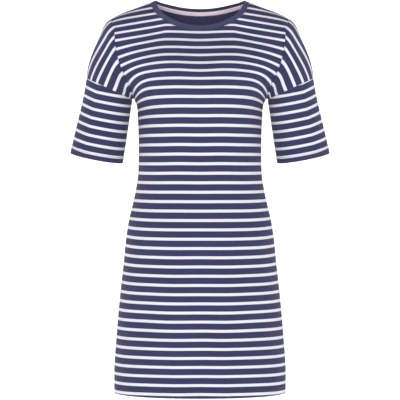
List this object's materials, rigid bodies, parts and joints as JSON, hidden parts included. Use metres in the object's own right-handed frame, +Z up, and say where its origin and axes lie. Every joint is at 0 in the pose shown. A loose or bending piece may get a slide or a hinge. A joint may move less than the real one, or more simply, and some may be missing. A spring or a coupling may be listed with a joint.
{
  "type": "nightshirt",
  "caption": "Pull-on striped jersey nightshirt in its worn, hollow form, with a round neck, dropped shoulders and elbow-length sleeves.",
  "frame": {"origin": "where the wearer's shoulders carry it: on the middle plane, at the height of the neck's highest points", "axes": "+Z up, +X towards the garment's own left side, and the front faces -Y"},
  "size_m": [0.5974, 0.2621, 0.9047],
  "materials": {
    "striped_jersey": "matt cotton jersey, navy with narrow white stripes",
    "navy_rib": "matt fine rib, plain navy",
    "pink_tape": "matt twill tape, pale pink",
    "navy_jersey": "matt cotton jersey, plain navy"
  },
  "bodies": {
    "root": {"front": "striped_jersey", "back": "striped_jersey", "upper_sleeve_left": "striped_jersey", "upper_sleeve_right": "striped_jersey", "lower_sleeve_left": "striped_jersey", "lower_sleeve_right": "striped_jersey", "neckband": "navy_rib", "back_neck_tape": "pink_tape", "back_neck_patch": "navy_jersey"}
  },
  "joints": []
}
